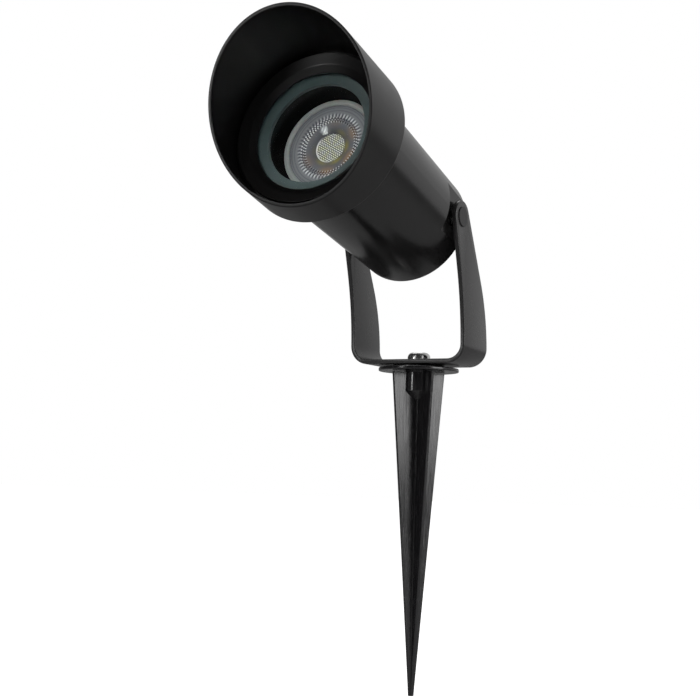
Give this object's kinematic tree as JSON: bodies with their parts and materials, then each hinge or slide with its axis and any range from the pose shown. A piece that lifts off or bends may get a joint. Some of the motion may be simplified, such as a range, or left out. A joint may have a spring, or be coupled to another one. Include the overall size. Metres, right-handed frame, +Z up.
{
  "type": "garden spike spotlight",
  "caption": "Outdoor spotlight on a ground spike: tilting cylindrical head in a U bracket, slanted glare shield around the glass, twist-lock lamp inside.",
  "frame": {"origin": "centre of the underside of the spike flange, level with the soil", "axes": "+Z up along the spike, X along the tilt pivots, the lamp looks towards -Y and upwards"},
  "size_m": [0.0858, 0.1777, 0.3329],
  "materials": {
    "spike_plastic": "glossy black moulded plastic",
    "body_coat": "satin black powder coat on die-cast aluminium",
    "shield_coat": "satin black powder coat on aluminium",
    "strap_coat": "satin black powder coat on steel strap",
    "screw_steel": "zinc-plated steel",
    "cap_plastic": "fine matt black nylon",
    "brass": "bare brass",
    "seal_rubber": "black rubber",
    "clear_silicone": "translucent silicone",
    "front_glass": "clear toughened glass",
    "lamp_shell": "pale grey-green plastic",
    "lamp_lens": "clear faceted optic",
    "board_white": "white solder mask on aluminium board",
    "led_phosphor": "yellow phosphor",
    "driver_board": "green circuit board",
    "plated_pin": "bright nickel plate",
    "ceramic": "glazed off-white ceramic",
    "block_plastic": "white nylon",
    "lead_brown": "silicone sleeve",
    "lead_blue": "silicone sleeve",
    "lead_green": "silicone sleeve"
  },
  "bodies": {
    "spike": {"ground_spike": "spike_plastic", "spike_insert": "brass", "base_screw": "screw_steel"},
    "bracket": {"bracket": "strap_coat"},
    "head": {"head_body": "body_coat", "pivot_screws": "screw_steel", "pivot_caps": "cap_plastic", "pivot_washers": "screw_steel", "body_seal": "seal_rubber", "glass_gasket": "clear_silicone", "front_glass": "front_glass", "glass_ring": "body_coat", "lamp_holder": "ceramic", "holder_contacts": "brass", "holder_strap": "screw_steel", "holder_screws": "screw_steel", "strap_screws": "screw_steel", "terminal_block": "block_plastic", "terminal_screws": "screw_steel", "lead_live": "lead_brown", "lead_neutral": "lead_blue", "lead_earth": "lead_green", "earth_screw": "brass", "earth_tag": "plated_pin", "gland_body": "cap_plastic", "gland_washer": "seal_rubber", "gland_locknut": "cap_plastic", "gland_seal": "seal_rubber", "gland_nut": "cap_plastic"},
    "shield": {"glare_shield": "shield_coat"},
    "lamp": {"lamp_housing": "lamp_shell", "lamp_bezel": "lamp_shell", "lamp_lens": "lamp_lens", "lamp_board": "board_white", "lamp_leds": "led_phosphor", "lamp_driver": "driver_board", "lamp_base": "lamp_shell", "lamp_pins": "plated_pin"}
  },
  "joints": [
    {"name": "bracket_swivel", "type": "hinge", "parent": "spike", "child": "bracket", "pos_m": [0, 0, 0.0045], "axis": [0, 0, 1], "range_deg": [-180, 180]},
    {"name": "head_tilt", "type": "hinge", "parent": "bracket", "child": "head", "pos_m": [0, -0.0218, 0.0801], "axis": [-1, 0, 0], "range_deg": [-34, 106]},
    {"name": "shield_turn", "type": "hinge", "parent": "head", "child": "shield", "pos_m": [0, -0.11386, 0.10357], "axis": [0, -0.969, 0.247], "range_deg": [-180, 180]},
    {"name": "lamp_twist", "type": "hinge", "parent": "head", "child": "lamp", "pos_m": [0, -0.06056, 0.08998], "axis": [0, -0.969, 0.247], "range_deg": [0, 20]}
  ]
}
